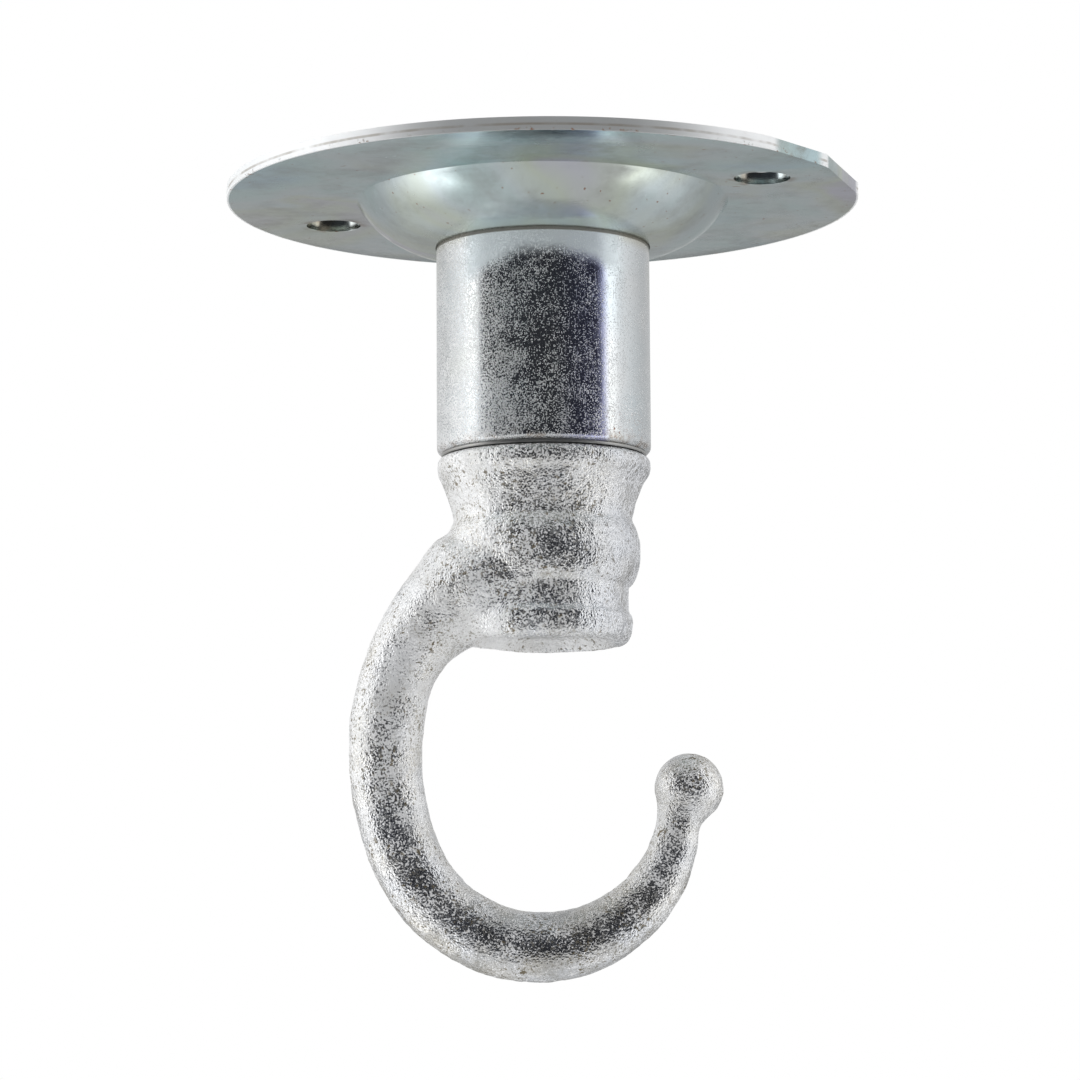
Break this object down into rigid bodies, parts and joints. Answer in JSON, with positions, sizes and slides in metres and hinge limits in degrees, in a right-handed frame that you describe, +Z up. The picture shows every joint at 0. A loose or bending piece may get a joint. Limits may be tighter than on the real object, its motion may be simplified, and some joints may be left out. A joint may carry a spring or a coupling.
{
  "type": "swivel ceiling hook",
  "caption": "Ceiling hook that swivels: a round domed steel plate with screw holes, a short sleeve below it, and a cast open hook with a ball tip turning on a headed pin.",
  "frame": {"origin": "centre of the plate's ceiling face, on the swivel axis", "axes": "+Z up into the ceiling, along the swivel axis; the hook hangs down in the XZ plane at rest, its mouth towards +X"},
  "size_m": [0.0754, 0.0754, 0.0944],
  "materials": {
    "plated_sheet": "bright zinc plate on pressed steel sheet, satin, faintly iridescent",
    "plated_tube": "bright zinc plate on a drawn steel cup, smooth with fine scratches",
    "plated_casting": "zinc plate on a rough malleable casting, sparkling grain with olive-brown specks",
    "plain_steel": "plain bright steel, lightly oiled"
  },
  "bodies": {
    "mount": {"ceiling_plate": "plated_sheet", "sleeve": "plated_tube", "thrust_washer": "plain_steel", "retaining_washer": "plain_steel", "pivot_pin": "plain_steel", "head_washer": "plain_steel"},
    "swivel_hook": {"hook": "plated_casting"}
  },
  "joints": [
    {"name": "hook_swivel", "type": "hinge", "parent": "mount", "child": "swivel_hook", "pos_m": [0, 0, -0.04], "axis": [0, 0, 1], "continuous": true}
  ]
}
